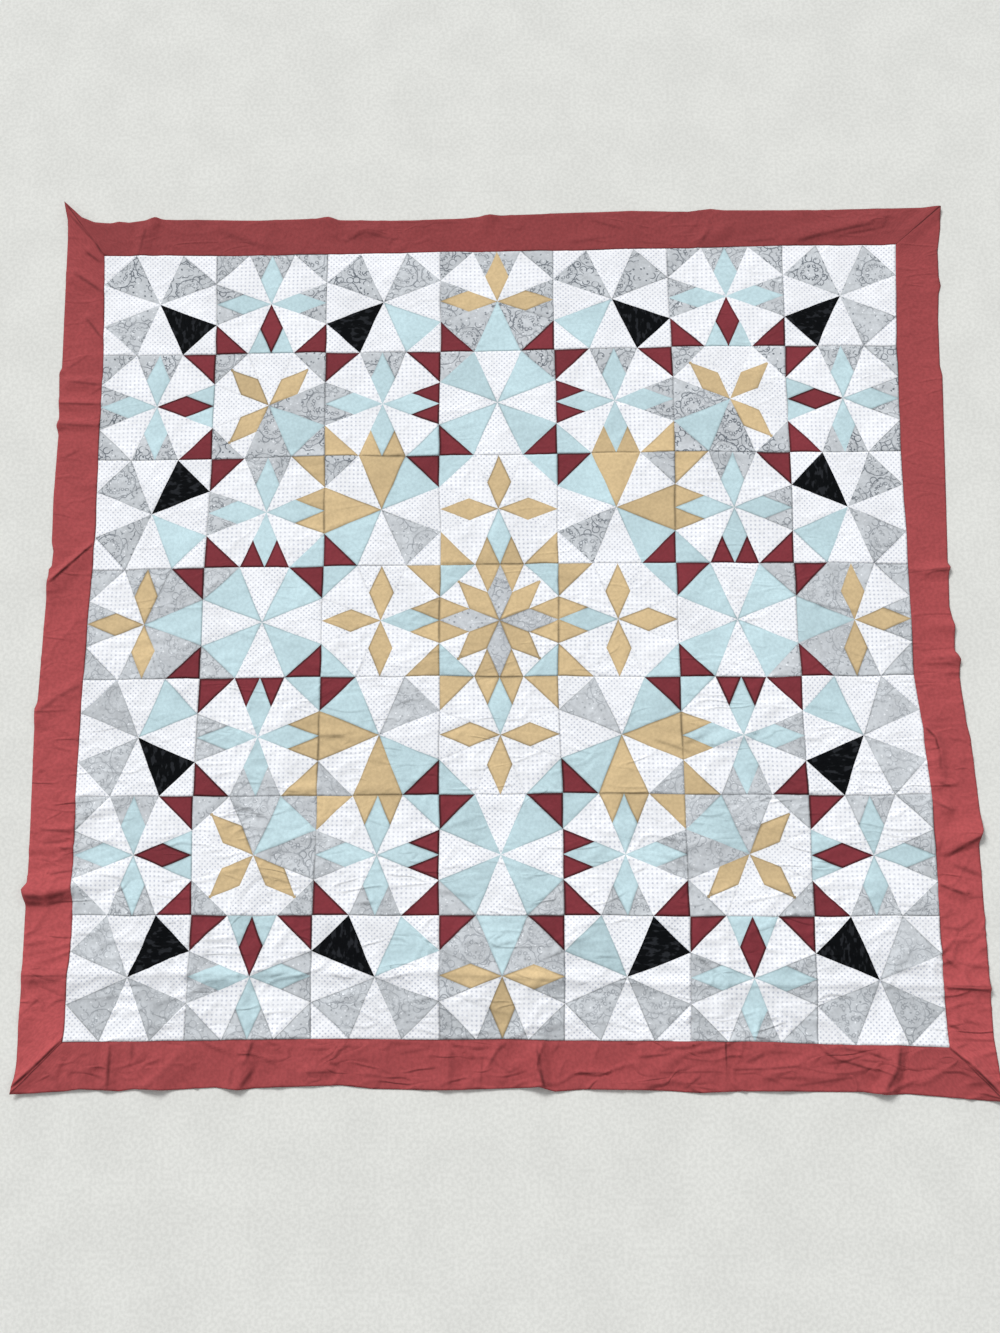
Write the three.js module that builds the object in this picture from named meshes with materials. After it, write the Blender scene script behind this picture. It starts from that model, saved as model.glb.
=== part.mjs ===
// A patchwork star quilt top, laid out on a flat surface. A panel of seven by seven pieced blocks has
// four border strips, mitred at the corners. Millimetres, with +Z up and +Y towards the top border.
// The origin is the middle of the panel's underside. The cloth lies flat on the surface, but for the
// folds that run in from its edges and the crease of an old folding line across its lower part.

import * as THREE from "three";

// Sizes the maker worked to
const BLOCK = 254; // a finished ten inch block
const BLOCKS = 7; // blocks along each side of the panel
const HALF = (BLOCK * BLOCKS) / 2; // from the panel's middle to its edge
const BORDER = 90; // width of a border strip
const CLOTH = 2; // the sheet with its turned-in seam allowances
const SEAM_GAP = 0.3; // clear space between two neighbouring pieces

// How finely the sheets follow their folds
const PANEL_CELLS = 4; // cells along one block
const BORDER_STEP = 46; // longest cell along a strip
const BORDER_CELLS = 3; // cells across a strip
const CLOSEST_LINES = 8; // two mesh lines are never nearer than this
const CREASE_LINES = [-796, -766, -738]; // mesh lines along the crease in the panel

// Turns a heading and its rows of values into rows with named columns.
function table(heading, rows) {
  const names = heading.split(" ");
  return rows.map((row) => Object.fromEntries(names.map((name, column) => [name, row[column]])));
}

// How far each block line's end on the panel's edge has drifted from its place on an even grid.
// Top and bottom rows run from the left, side rows from the top.
const DRIFT = {
  top: table("dx dy", [[-13, -6], [-9, -7], [-10, -8], [-5, -5], [-4, -6], [1, -3], [10, 0], [12, -2]]),
  bottom: table("dx dy", [[7, 6], [0, 6], [-2, 8], [3, 7], [1, 5], [0, 1], [0, -5], [2, -14]]),
  left: table("dx dy", [[-13, -6], [0, -3], [4, -2], [7, -6], [1, 1], [1, 1], [11, 6], [7, 6]]),
  right: table("dx dy", [[12, -2], [-2, 1], [-10, 1], [-10, -7], [-14, -3], [5, -7], [3, -6], [2, -14]]),
};

// The quilt's outer edge, read clockwise: how far along its side each point lies, from the side's
// middle, and how far out from the panel's even edge. The first and last points are the mitred tips.
const OUTLINE = {
  top: table("along out", [
    [-999, 129], [-957, 90], [-930, 80], [-891, 80], [-874, 84], [-850, 81], [-788, 90], [-777, 87],
    [-549, 82], [-390, 86], [-367, 80], [-211, 77], [-83, 81], [-22, 87], [304, 95], [433, 91],
    [485, 98], [514, 94], [724, 91], [1009, 95],
  ]),
  right: table("along out", [
    [-984, 120], [-930, 116], [-872, 106], [-807, 104], [-785, 107], [-764, 101], [-699, 95],
    [-587, 91], [-564, 95], [-122, 75], [-110, 79], [-98, 75], [-22, 71], [22, 79], [78, 75],
    [97, 86], [132, 81], [233, 88], [267, 94], [464, 104], [490, 95], [882, 94], [1010, 106],
  ]),
  bottom: table("along out", [
    [-995, 121], [-803, 104], [-761, 107], [-716, 100], [-471, 98], [-395, 101], [-326, 96],
    [-164, 93], [-108, 97], [-75, 89], [116, 94], [256, 90], [318, 83], [492, 88], [525, 93],
    [570, 86], [679, 92], [733, 89], [762, 93], [840, 89], [872, 93], [979, 99],
  ]),
  left: table("along out", [
    [-988, 90], [-963, 85], [-921, 83], [-604, 87], [-577, 95], [-562, 86], [-190, 97], [-176, 93],
    [126, 89], [131, 83], [167, 82], [188, 87], [301, 90], [441, 89], [461, 94], [475, 90],
    [591, 97], [604, 92], [973, 101], [1018, 110],
  ]),
};

// Folds and creases. Each runs from x0, y0 to x1, y1 and rises to height0 and height1 at its ends.
// Looking along it, the cloth comes down to the surface over the widths left and right.
const FOLDS = table("x0 y0 height0 x1 y1 height1 left right", [
  // The top border, with the pulled-out tip of its left corner
  [-999, 1019, 16, -911, 901, 3, 60, 45],
  [-974, 948, 6, -924, 888, 2, 26, 26],
  [-789, 979, 7, -800, 938, 3, 22, 26],
  [-815, 949, 2, -816, 890, 4, 24, 24],
  [-390, 974, 6, -375, 940, 3, 24, 30],
  [-334, 937, 4, -283, 941, 4, 26, 22],
  [-22, 976, 6, -43, 935, 2, 30, 24],
  [453, 899, 3, 512, 931, 5, 28, 28],
  [674, 909, 4, 868, 955, 6, 34, 26],
  [900, 887, 3, 1004, 983, 7, 28, 28],
  // The right border
  [895, 107, 4, 965, 106, 7, 20, 24],
  [927, -19, 3, 968, -22, 6, 20, 24],
  [915, -101, 3, 972, -94, 7, 24, 20],
  [891, -248, 3, 909, -266, 5, 22, 26],
  [909, -266, 5, 912, -359, 5, 22, 26],
  [896, -404, 3, 925, -418, 5, 22, 22],
  [911, -499, 6, 991, -473, 13, 44, 22],
  [905, -580, 4, 941, -595, 6, 26, 22],
  // The bottom border, with a deep fold close to its right corner
  [891, -902, 4, 990, -1000, 7, 26, 26],
  [794, -903, 7, 783, -952, 12, 20, 36],
  [783, -952, 12, 767, -989, 12, 20, 36],
  [656, -914, 3, 749, -948, 6, 26, 26],
  [448, -990, 4, 451, -894, 3, 18, 18],
  [76, -896, 5, 83, -982, 10, 24, 30],
  [-100, -886, 3, -105, -982, 5, 30, 30],
  [-389, -947, 4, -344, -940, 4, 20, 20],
  [-334, -922, 4, -292, -895, 3, 20, 20],
  [-501, -889, 4, -512, -929, 7, 26, 32],
  [-512, -929, 7, -528, -980, 10, 26, 32],
  [-618, -901, 3, -693, -975, 7, 36, 30],
  [-783, -893, 4, -787, -974, 5, 24, 24],
  [-883, -886, 3, -985, -978, 7, 26, 26],
  // The left border, with the deepest pleat, which reaches into the panel
  [-983, -590, 15, -885, -574, 11, 52, 24],
  [-885, -574, 11, -802, -546, 5, 48, 30],
  [-802, -546, 5, -766, -527, 1, 40, 30],
  [-920, -541, 4, -885, -535, 4, 18, 18],
  [-971, -492, 4, -890, -488, 4, 16, 16],
  [-936, -459, 4, -893, -448, 4, 16, 16],
  [-979, -201, 6, -896, -140, 3, 34, 30],
  [-974, 92, 10, -888, 175, 4, 20, 38],
  [-981, 465, 6, -898, 464, 3, 20, 16],
  [-980, 516, 4, -893, 515, 3, 22, 22],
  [-963, 565, 5, -894, 564, 3, 26, 22],
  [-929, 724, 4, -900, 676, 3, 24, 24],
  [-969, 830, 6, -905, 797, 3, 30, 26],
  // The crease of an old folding line, right across the lower part
  [-978, -752, 4, -120, -751, 4, 28, 28],
  [-120, -751, 4, 320, -776, 4, 28, 28],
  [320, -776, 4, 894, -782, 4, 28, 28],
  [894, -782, 4, 980, -786, 6, 26, 26],
  // Tucks and wrinkles in the panel, most of them in its lower rows
  [-880, -440, 3, -820, -392, 3, 20, 20],
  [-439, -368, 5, -385, -367, 5, 20, 16],
  [-497, -499, 3, -394, -468, 4, 26, 22],
  [-492, -541, 3, -376, -554, 4, 26, 22],
  [-303, -367, 3, -209, -370, 3, 18, 18],
  [-83, -667, 4, -32, -714, 3, 22, 20],
  [385, -490, 4, 453, -484, 4, 20, 24],
  [454, -274, 6, 522, -257, 5, 28, 16],
  [575, -742, 3, 636, -724, 4, 24, 20],
  [666, 63, 3, 675, 29, 3, 18, 18],
  [-484, 381, 3, -329, 377, 3, 20, 16],
  [353, 384, 3, 572, 377, 3, 20, 16],
]);

const colour = { patchwork: 0xe3e4e8, border: 0x9f4d4e };

// The height of one fold over a point: a rounded ridge that dies away round its ends.
function foldAt(fold, x, y) {
  const dx = fold.x1 - fold.x0;
  const dy = fold.y1 - fold.y0;
  const length = Math.hypot(dx, dy);
  const reached = ((x - fold.x0) * dx + (y - fold.y0) * dy) / (length * length);
  const t = THREE.MathUtils.clamp(reached, 0, 1);
  const offLine = (dx * (y - fold.y0) - dy * (x - fold.x0)) / length;
  const distance = Math.hypot(x - fold.x0 - t * dx, y - fold.y0 - t * dy);
  const width = offLine > 0 ? fold.left : fold.right;
  const share = Math.min(distance / width, 1);
  return THREE.MathUtils.lerp(fold.height0, fold.height1, t) * (1 - share * share) ** 2;
}

// How high the underside of the cloth stands over the surface.
function clothHeight(x, y) {
  return Math.max(...FOLDS.map((fold) => foldAt(fold, x, y)));
}

// Reads a drift table a part of the way along its side, from 0 to 1.
function driftAlong(rows, part) {
  const place = THREE.MathUtils.clamp(part, 0, 1) * (rows.length - 1);
  const from = Math.min(Math.floor(place), rows.length - 2);
  const t = place - from;
  const { lerp } = THREE.MathUtils;
  return new THREE.Vector2(
    lerp(rows[from].dx, rows[from + 1].dx, t),
    lerp(rows[from].dy, rows[from + 1].dy, t),
  );
}

// Takes a point of the even panel to where it lies, blending the drifts of its four edges.
function lay(x, y) {
  const u = THREE.MathUtils.clamp((x + HALF) / (2 * HALF), 0, 1);
  const v = THREE.MathUtils.clamp((HALF - y) / (2 * HALF), 0, 1);
  const upright = driftAlong(DRIFT.top, u).lerp(driftAlong(DRIFT.bottom, u), v);
  const across = driftAlong(DRIFT.left, v).lerp(driftAlong(DRIFT.right, v), u);
  const topCorners = driftAlong(DRIFT.top, 0).lerp(driftAlong(DRIFT.top, 1), u);
  const bottomCorners = driftAlong(DRIFT.bottom, 0).lerp(driftAlong(DRIFT.bottom, 1), u);
  return new THREE.Vector2(x, y).add(upright).add(across).sub(topCorners.lerp(bottomCorners, v));
}

// Sorts mesh lines and drops the ones that crowd a line given earlier.
function meshLines(groups) {
  const kept = [];
  for (const line of groups.flat()) {
    if (kept.every((other) => Math.abs(other - line) >= CLOSEST_LINES)) kept.push(line);
  }
  return kept.sort((a, b) => a - b);
}

// Even lines from one end to the other, no further apart than the step.
function evenLines(from, to, step) {
  const count = Math.ceil((to - from) / step);
  return Array.from({ length: count + 1 }, (_, line) => THREE.MathUtils.lerp(from, to, line / count));
}

function foldMiddles() {
  return FOLDS.map(({ x0, y0, x1, y1 }) => new THREE.Vector2(x0 + x1, y0 + y1).divideScalar(2));
}

// A closed sheet over a grid of points, whose two faces both follow the folds. The box starts in
// steps of the grid, and each of its points moves to its place.
function sheet(columns, rows, place) {
  const geometry = new THREE.BoxGeometry(columns, rows, 1, columns, rows, 1);
  const points = geometry.attributes.position;
  for (let index = 0; index < points.count; index += 1) {
    const column = Math.round(points.getX(index) + columns / 2);
    const row = Math.round(points.getY(index) + rows / 2);
    const onTop = points.getZ(index) > 0;
    const at = place(column, row);
    points.setXYZ(index, at.x, at.y, clothHeight(at.x, at.y) + (onTop ? CLOTH : 0));
  }
  geometry.computeVertexNormals();
  return geometry;
}

function piece(name, geometry, tint) {
  const material = new THREE.MeshStandardMaterial({ color: tint, roughness: 0.9, metalness: 0 });
  const mesh = new THREE.Mesh(geometry, material);
  mesh.name = name;
  return mesh;
}

// The patchwork panel, its block lines straight from one edge corner to the next.
function patchworkPanel() {
  const blockLines = evenLines(-HALF, HALF, BLOCK);
  const cellLines = evenLines(-HALF, HALF, BLOCK / PANEL_CELLS);
  const middles = foldMiddles().filter(({ x, y }) => Math.max(Math.abs(x), Math.abs(y)) < HALF);
  const columns = meshLines([blockLines, middles.map(({ x }) => x), cellLines]);
  const rows = meshLines([blockLines, CREASE_LINES, middles.map(({ y }) => y), cellLines]);
  const inset = SEAM_GAP / 2;
  return sheet(columns.length - 1, rows.length - 1, (column, row) => {
    const at = lay(columns[column], rows[row]);
    if (column === 0) at.x += inset;
    if (column === columns.length - 1) at.x -= inset;
    if (row === 0) at.y += inset;
    if (row === rows.length - 1) at.y -= inset;
    return at;
  });
}

// Where an outline stands a given way along its side.
function outAt(outline, along) {
  const next = Math.max(1, outline.findIndex((point) => point.along >= along));
  const [a, b] = [outline[next - 1], outline[next]];
  return THREE.MathUtils.lerp(a.out, b.out, (along - a.along) / (b.along - a.along));
}

// A border strip. Its mesh lines cross it squarely, and fan out over the last strip width towards
// the mitres. Seen from above, `along` runs clockwise and `out` away from the panel.
function borderStrip(side, along, out) {
  const outline = OUTLINE[side];
  const first = outline[0].along;
  const last = outline[outline.length - 1].along;
  const ends = [first, last];
  const outlineLines = outline.map((point) => point.along);
  const blockLines = evenLines(-HALF, HALF, BLOCK).slice(1, -1);
  const strip = (x, y) => new THREE.Vector2(x * along.x + y * along.y, x * out.x + y * out.y);
  const foldLines = foldMiddles().map(({ x, y }) => strip(x, y))
    .filter((middle) => middle.y > HALF && middle.x > first && middle.x < last)
    .map((middle) => middle.x);
  const lines = meshLines([ends, blockLines, outlineLines, foldLines, evenLines(first, last, BORDER_STEP)]);
  const knee = HALF - BORDER;
  const mitreStep = SEAM_GAP / 2 / Math.SQRT1_2;

  return sheet(lines.length - 1, BORDER_CELLS, (column, row) => {
    const line = lines[column];
    const reach = line < 0 ? -first : last;
    const past = Math.max(0, Math.abs(line) - knee) / (reach - knee);
    const inner = Math.sign(line) * (past > 0 ? knee + past * (HALF - knee) : Math.abs(line));
    const seam = lay(inner * along.x + HALF * out.x, inner * along.y + HALF * out.y);
    seam.addScaledVector(out, SEAM_GAP / 2);
    const edge = along.clone().multiplyScalar(line);
    edge.addScaledVector(out, HALF + outAt(outline, line));
    const at = seam.lerp(edge, row / BORDER_CELLS);
    if (column === 0) at.addScaledVector(along, mitreStep);
    if (column === lines.length - 1) at.addScaledVector(along, -mitreStep);
    return at;
  });
}

const right = new THREE.Vector2(1, 0);
const up = new THREE.Vector2(0, 1);
const left = right.clone().negate();
const down = up.clone().negate();

const quilt = new THREE.Group();
quilt.name = "patchwork_star_quilt";
quilt.add(piece("patchwork_panel", patchworkPanel(), colour.patchwork));
quilt.add(piece("border_top", borderStrip("top", right, up), colour.border));
quilt.add(piece("border_right", borderStrip("right", down, right), colour.border));
quilt.add(piece("border_bottom", borderStrip("bottom", left, down), colour.border));
quilt.add(piece("border_left", borderStrip("left", up, left), colour.border));

export default quilt;
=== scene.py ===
"""A patchwork star quilt top laid out flat on a floor, in metres, +Z up and +Y towards its top border.

The panel is seven rows of seven kaleidoscope blocks. A block is eight wedges round its centre and four
corner triangles, and some wedges are pieced again from a long diamond and two side triangles. Four
rose-red strips, mitred at the corners, are its border. It is one layer of cotton, with no filling.
"""

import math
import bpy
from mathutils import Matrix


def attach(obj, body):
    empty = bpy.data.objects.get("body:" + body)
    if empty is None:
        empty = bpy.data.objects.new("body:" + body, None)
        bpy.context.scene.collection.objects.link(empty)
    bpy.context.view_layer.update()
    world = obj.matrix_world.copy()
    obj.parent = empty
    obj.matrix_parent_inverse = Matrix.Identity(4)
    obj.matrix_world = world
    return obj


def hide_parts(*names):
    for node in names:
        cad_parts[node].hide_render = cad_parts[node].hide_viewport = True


bl_info = {
    "name": "Patchwork Star Quilt",
    "version": (1, 0, 0),
    "blender": (4, 5, 0),
    "location": "View3D > Sidebar > Quilt",
    "description": "Pieces a star quilt top from printed cottons and lays it out on a floor",
    "category": "Add Mesh",
}

import bmesh
import bpy
import numpy as np
from bpy.props import FloatProperty, FloatVectorProperty, IntProperty, PointerProperty
from mathutils import Matrix, Vector

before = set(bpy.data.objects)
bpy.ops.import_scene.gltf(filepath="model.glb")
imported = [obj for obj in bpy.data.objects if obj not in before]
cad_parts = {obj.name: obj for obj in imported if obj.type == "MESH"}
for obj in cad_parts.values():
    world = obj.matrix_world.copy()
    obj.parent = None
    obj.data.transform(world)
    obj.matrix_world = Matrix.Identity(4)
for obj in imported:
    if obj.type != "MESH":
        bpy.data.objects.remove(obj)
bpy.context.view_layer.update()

MM = 0.001
BLOCKS = 7
STEP = math.radians(45)  # from one wedge to the next
HALF_WEDGE = math.radians(22.5)
TOUCH = 1e-6  # a cut this near a corner of the mesh goes through it
DEEPEST = 3.0 * MM  # a crease this deep is painted as dark as a seam
COTTONS = ("white", "grey", "aqua", "gold", "red", "black")

# The blocks of one eighth of the panel, by row and column. The others are their mirror images. The
# eight wedges run clockwise from the top one, and a pieced wedge is written diamond/sides. The four
# corners run clockwise from the top right one.
CHARTS = {
    (1, 1): ("white grey white black white grey white grey", "white white white white"),
    (1, 2): ("aqua/grey white aqua/grey white red/aqua white aqua/grey white", "grey red red grey"),
    (1, 3): ("white grey white aqua white black white grey", "white white white white"),
    (1, 4): ("gold/grey white gold/grey grey aqua grey gold/grey white", "grey red red grey"),
    (2, 2): ("white gold/white grey aqua grey gold/white white gold/white", "grey grey grey grey"),
    (2, 3): ("aqua/grey white aqua/red white aqua/gold white aqua/grey white", "red aqua gold red"),
    (2, 4): ("white aqua white aqua white aqua white aqua", "grey red red grey"),
    (3, 3): ("gold aqua white grey white aqua gold white", "red white red grey"),
    (3, 4): ("gold/white white gold/white white aqua/gold white gold/white white", "aqua gold gold aqua"),
    (4, 4): (
        "grey/gold gold/white grey/gold gold/white grey/gold gold/white grey/gold gold/white",
        "aqua aqua aqua aqua",
    ),
}


def millimetres(heading, rows):
    """Columns of a table in metres, by name. Its rows are written in millimetres."""
    columns = np.array(rows, float).T * MM
    return dict(zip(heading.split(), columns, strict=True))


# How far each block line's end on the panel's edge has drifted from its place on an even grid. Top
# and bottom rows run from the left, side rows from the top.
DRIFT = {
    "top": [(-13, -6), (-9, -7), (-10, -8), (-5, -5), (-4, -6), (1, -3), (10, 0), (12, -2)],
    "bottom": [(7, 6), (0, 6), (-2, 8), (3, 7), (1, 5), (0, 1), (0, -5), (2, -14)],
    "left": [(-13, -6), (0, -3), (4, -2), (7, -6), (1, 1), (1, 1), (11, 6), (7, 6)],
    "right": [(12, -2), (-2, 1), (-10, 1), (-10, -7), (-14, -3), (5, -7), (3, -6), (2, -14)],
}
DRIFT = {edge: millimetres("dx dy", rows) for edge, rows in DRIFT.items()}

# How much further the inner corners of the blocks have drifted. The lines named in the heading run
# between columns of blocks, from the left, and each row is a line between rows of blocks, from the top.
INNER_LINES = "line1 line2 line3 line4 line5 line6"
INNER_DRIFT = {
    "dx": millimetres(INNER_LINES, [
        (0, -2, -1, 3, 11, 5),
        (0, 1, 0, 8, 15, 11),
        (-7, 4, 2, 8, 9, 8),
        (0, 9, 7, 9, 15, 14),
        (-2, 4, -1, 4, 2, 2),
        (-3, -6, -5, 0, 4, 2),
    ]),
    "dy": millimetres(INNER_LINES, [
        (2, 3, -1, 2, 4, 0),
        (0, 4, 0, 2, 3, -2),
        (4, 4, 3, 4, 3, 0),
        (-1, 1, -2, -2, -7, -6),
        (-1, -4, -5, -2, -5, -5),
        (-2, -5, -7, -8, -8, -6),
    ]),
}

# The outer edge of each border strip, clockwise: how far along its side each point lies, from the
# side's middle, and how far out from the panel's even edge. The first and last are the mitred tips.
OUTLINE = {
    "top": millimetres("along out", [
        (-999, 129), (-957, 90), (-930, 80), (-891, 80), (-874, 84), (-850, 81), (-788, 90), (-777, 87),
        (-549, 82), (-390, 86), (-367, 80), (-211, 77), (-83, 81), (-22, 87), (304, 95), (433, 91),
        (485, 98), (514, 94), (724, 91), (1009, 95),
    ]),
    "right": millimetres("along out", [
        (-984, 120), (-930, 116), (-872, 106), (-807, 104), (-785, 107), (-764, 101), (-699, 95),
        (-587, 91), (-564, 95), (-122, 75), (-110, 79), (-98, 75), (-22, 71), (22, 79), (78, 75),
        (97, 86), (132, 81), (233, 88), (267, 94), (464, 104), (490, 95), (882, 94), (1010, 106),
    ]),
    "bottom": millimetres("along out", [
        (-995, 121), (-803, 104), (-761, 107), (-716, 100), (-471, 98), (-395, 101), (-326, 96),
        (-164, 93), (-108, 97), (-75, 89), (116, 94), (256, 90), (318, 83), (492, 88), (525, 93),
        (570, 86), (679, 92), (733, 89), (762, 93), (840, 89), (872, 93), (979, 99),
    ]),
    "left": millimetres("along out", [
        (-988, 90), (-963, 85), (-921, 83), (-604, 87), (-577, 95), (-562, 86), (-190, 97), (-176, 93),
        (126, 89), (131, 83), (167, 82), (188, 87), (301, 90), (441, 89), (461, 94), (475, 90),
        (591, 97), (604, 92), (973, 101), (1018, 110),
    ]),
}
# Which way each strip runs, clockwise seen from above, and which way is out from the panel
SIDES = {
    "top": (Vector((1, 0)), Vector((0, 1))),
    "right": (Vector((0, -1)), Vector((1, 0))),
    "bottom": (Vector((-1, 0)), Vector((0, -1))),
    "left": (Vector((0, 1)), Vector((-1, 0))),
}
# Painted light: each strip's colour is made lighter or darker by how the light falls on it
PAINTED_STRIP_LIGHT = {"top": 0.75, "right": 1.05, "bottom": 0.97, "left": 1.08}
PAINTED_LIGHT_DOWNWARDS = 0.17  # painted light: share that the side strips gain for each metre towards the bottom
# How far a patch may be lighter or darker than its cotton, as a share. The lowest row has lost its
# freshness, so it is darker and less even.
UNEVEN_DYE = {"white": 0.012, "grey": 0.06, "aqua": 0.06, "gold": 0.10, "red": 0.10, "black": 0.06}
LOWEST_TONE, LOWEST_UNEVEN = 0.96, 0.035
LOOP_INK = (0.9, 0.9, 0.75, 0.5, 0.4, 0.5, 0.5)  # how strong the loop print is, from the top row down
# Dots in upright rows blur to nothing at the picture's size where slanting ones still show, so they
# are drawn a fifth coarser again, and paler
UPRIGHT_COARSER, UPRIGHT_INK = 6 / 5, 0.87
# Where strips of the border are joined end to end, along their side
STRIP_JOINS = {"right": (-107 * MM,), "bottom": (-449 * MM,)}

FOLD_COLUMNS = "x0 y0 height0 x1 y1 height1 left right"
# The main folds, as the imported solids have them. Each runs from x0, y0 to x1, y1 and rises to
# height0 and height1 at its ends. Looking along it, the cloth comes down over the widths left and right.
FOLDS = millimetres(FOLD_COLUMNS, [
    # The top border, with the pulled-out tip of its left corner
    (-999, 1019, 16, -911, 901, 3, 60, 45),
    (-974, 948, 6, -924, 888, 2, 26, 26),
    (-789, 979, 7, -800, 938, 3, 22, 26),
    (-815, 949, 2, -816, 890, 4, 24, 24),
    (-390, 974, 6, -375, 940, 3, 24, 30),
    (-334, 937, 4, -283, 941, 4, 26, 22),
    (-22, 976, 6, -43, 935, 2, 30, 24),
    (453, 899, 3, 512, 931, 5, 28, 28),
    (674, 909, 4, 868, 955, 6, 34, 26),
    (900, 887, 3, 1004, 983, 7, 28, 28),
    # The right border
    (895, 107, 4, 965, 106, 7, 20, 24),
    (927, -19, 3, 968, -22, 6, 20, 24),
    (915, -101, 3, 972, -94, 7, 24, 20),
    (891, -248, 3, 909, -266, 5, 22, 26),
    (909, -266, 5, 912, -359, 5, 22, 26),
    (896, -404, 3, 925, -418, 5, 22, 22),
    (911, -499, 6, 991, -473, 13, 44, 22),
    (905, -580, 4, 941, -595, 6, 26, 22),
    # The bottom border, with a deep fold close to its right corner
    (891, -902, 4, 990, -1000, 7, 26, 26),
    (794, -903, 7, 783, -952, 12, 20, 36),
    (783, -952, 12, 767, -989, 12, 20, 36),
    (656, -914, 3, 749, -948, 6, 26, 26),
    (448, -990, 4, 451, -894, 3, 18, 18),
    (76, -896, 5, 83, -982, 10, 24, 30),
    (-100, -886, 3, -105, -982, 5, 30, 30),
    (-389, -947, 4, -344, -940, 4, 20, 20),
    (-334, -922, 4, -292, -895, 3, 20, 20),
    (-501, -889, 4, -512, -929, 7, 26, 32),
    (-512, -929, 7, -528, -980, 10, 26, 32),
    (-618, -901, 3, -693, -975, 7, 36, 30),
    (-783, -893, 4, -787, -974, 5, 24, 24),
    (-883, -886, 3, -985, -978, 7, 26, 26),
    # The left border, with the deepest pleat, which reaches into the panel
    (-983, -590, 15, -885, -574, 11, 52, 24),
    (-885, -574, 11, -802, -546, 5, 48, 30),
    (-802, -546, 5, -766, -527, 1, 40, 30),
    (-920, -541, 4, -885, -535, 4, 18, 18),
    (-971, -492, 4, -890, -488, 4, 16, 16),
    (-936, -459, 4, -893, -448, 4, 16, 16),
    (-979, -201, 6, -896, -140, 3, 34, 30),
    (-974, 92, 10, -888, 175, 4, 20, 38),
    (-981, 465, 6, -898, 464, 3, 20, 16),
    (-980, 516, 4, -893, 515, 3, 22, 22),
    (-963, 565, 5, -894, 564, 3, 26, 22),
    (-929, 724, 4, -900, 676, 3, 24, 24),
    (-969, 830, 6, -905, 797, 3, 30, 26),
    # The crease of an old folding line, right across the lower part
    (-978, -752, 4, -120, -751, 4, 28, 28),
    (-120, -751, 4, 320, -776, 4, 28, 28),
    (320, -776, 4, 894, -782, 4, 28, 28),
    (894, -782, 4, 980, -786, 6, 26, 26),
    # Tucks and wrinkles in the panel, most of them in its lower rows
    (-880, -440, 3, -820, -392, 3, 20, 20),
    (-439, -368, 5, -385, -367, 5, 20, 16),
    (-497, -499, 3, -394, -468, 4, 26, 22),
    (-492, -541, 3, -376, -554, 4, 26, 22),
    (-303, -367, 3, -209, -370, 3, 18, 18),
    (-83, -667, 4, -32, -714, 3, 22, 20),
    (385, -490, 4, 453, -484, 4, 20, 24),
    (454, -274, 6, 522, -257, 5, 28, 16),
    (575, -742, 3, 636, -724, 4, 24, 20),
    (666, 63, 3, 675, 29, 3, 18, 18),
    (-484, 381, 3, -329, 377, 3, 20, 16),
    (353, 384, 3, 572, 377, 3, 20, 16),
])

RIDGE_HEIGHT = 1.3  # of the ridge beside a crease, in its depths
RIDGE_BACK = 1.7  # width of the ridge's far side, in the crease's widths
# Where the cloth is cut for a ridge, and from where to where those cuts may reach, in widths to the
# left of its crease
RIDGE_CUTS = (-1.0, -0.35, 0, 0.5, 1.1, 1.7)
CUT_FROM, CUT_TO = -1.4, 2.1
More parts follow.
